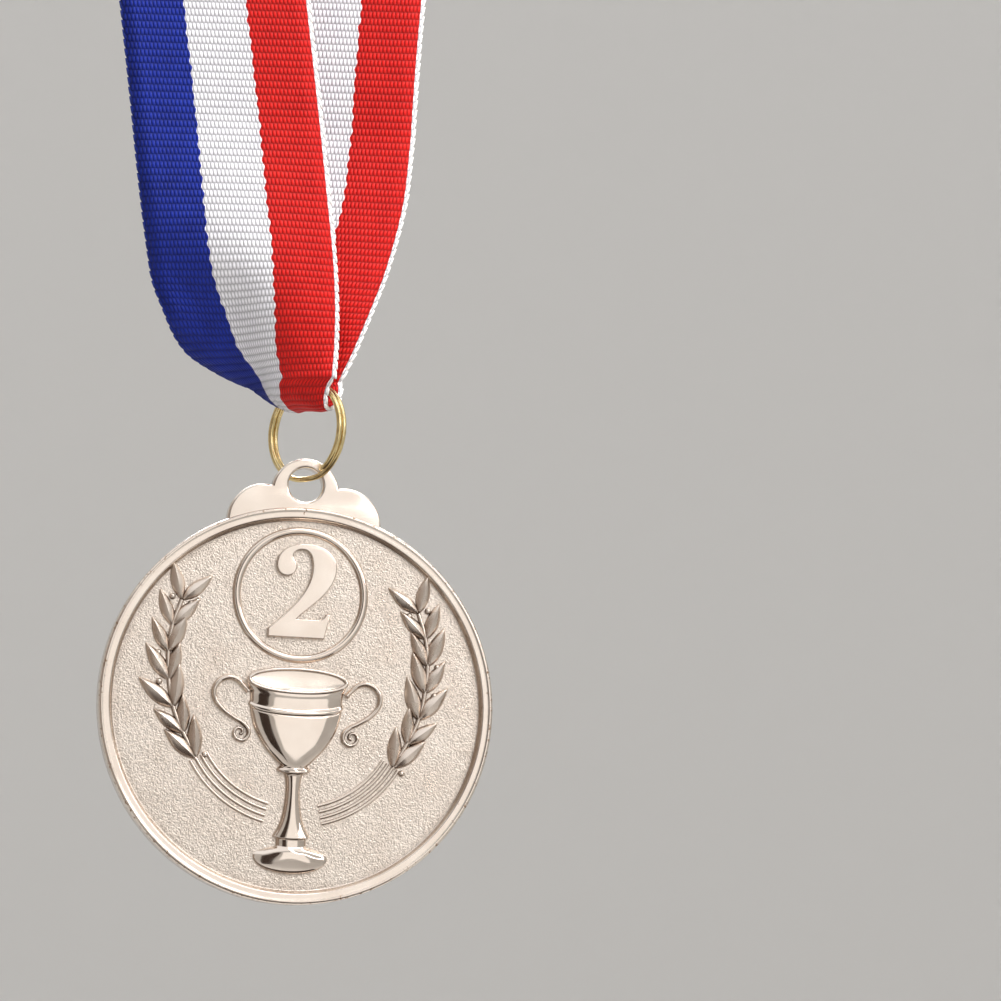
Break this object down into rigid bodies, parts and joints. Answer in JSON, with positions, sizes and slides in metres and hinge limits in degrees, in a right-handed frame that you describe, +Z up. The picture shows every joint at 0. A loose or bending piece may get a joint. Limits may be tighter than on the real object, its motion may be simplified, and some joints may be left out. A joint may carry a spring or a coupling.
{
  "type": "medal",
  "caption": "Round award medal with a trophy cup, laurel and numeral in relief, hanging by a split ring from a sewn loop of striped neck ribbon.",
  "frame": {"origin": "hanging point: the inner face of the ribbon at the top of its loop, where a neck, hook or rail carries it", "axes": "+Z up, the medal's front faces -Y, +X to the right seen from the front"},
  "size_m": [0.0827, 0.0242, 0.4252],
  "materials": {
    "silver_plate": "zinc die casting, bright silver plate with a warm tone, fields pebbled",
    "brass_wire": "brass-plated spring wire, polished",
    "ribbon": "woven polyester in three equal stripes of blue, white and red, ribbed across",
    "thread": "white polyester sewing thread"
  },
  "bodies": {
    "ribbon": {"ribbon_strap_left": "ribbon", "ribbon_strap_right": "ribbon", "ribbon_crown_left": "ribbon", "ribbon_crown_right": "ribbon", "seam_thread": "thread"},
    "fold": {"ribbon_fold": "ribbon"},
    "ring": {"split_ring": "brass_wire"},
    "medal": {"medal_casting": "silver_plate"}
  },
  "joints": [
    {"name": "ribbon_twist", "type": "hinge", "parent": "ribbon", "child": "fold", "pos_m": [0, 0, -0.35348], "axis": [0, 0, 1], "range_deg": [-180, 180]},
    {"name": "ring_swing", "type": "hinge", "parent": "fold", "child": "ring", "pos_m": [0, 0, -0.35688], "axis": [0.5736, -0.8192, 0], "range_deg": [-45, 45]},
    {"name": "medal_swing", "type": "hinge", "parent": "ring", "child": "medal", "pos_m": [0, 0, -0.36928], "axis": [0.5736, -0.8192, 0], "range_deg": [-60, 60]}
  ]
}
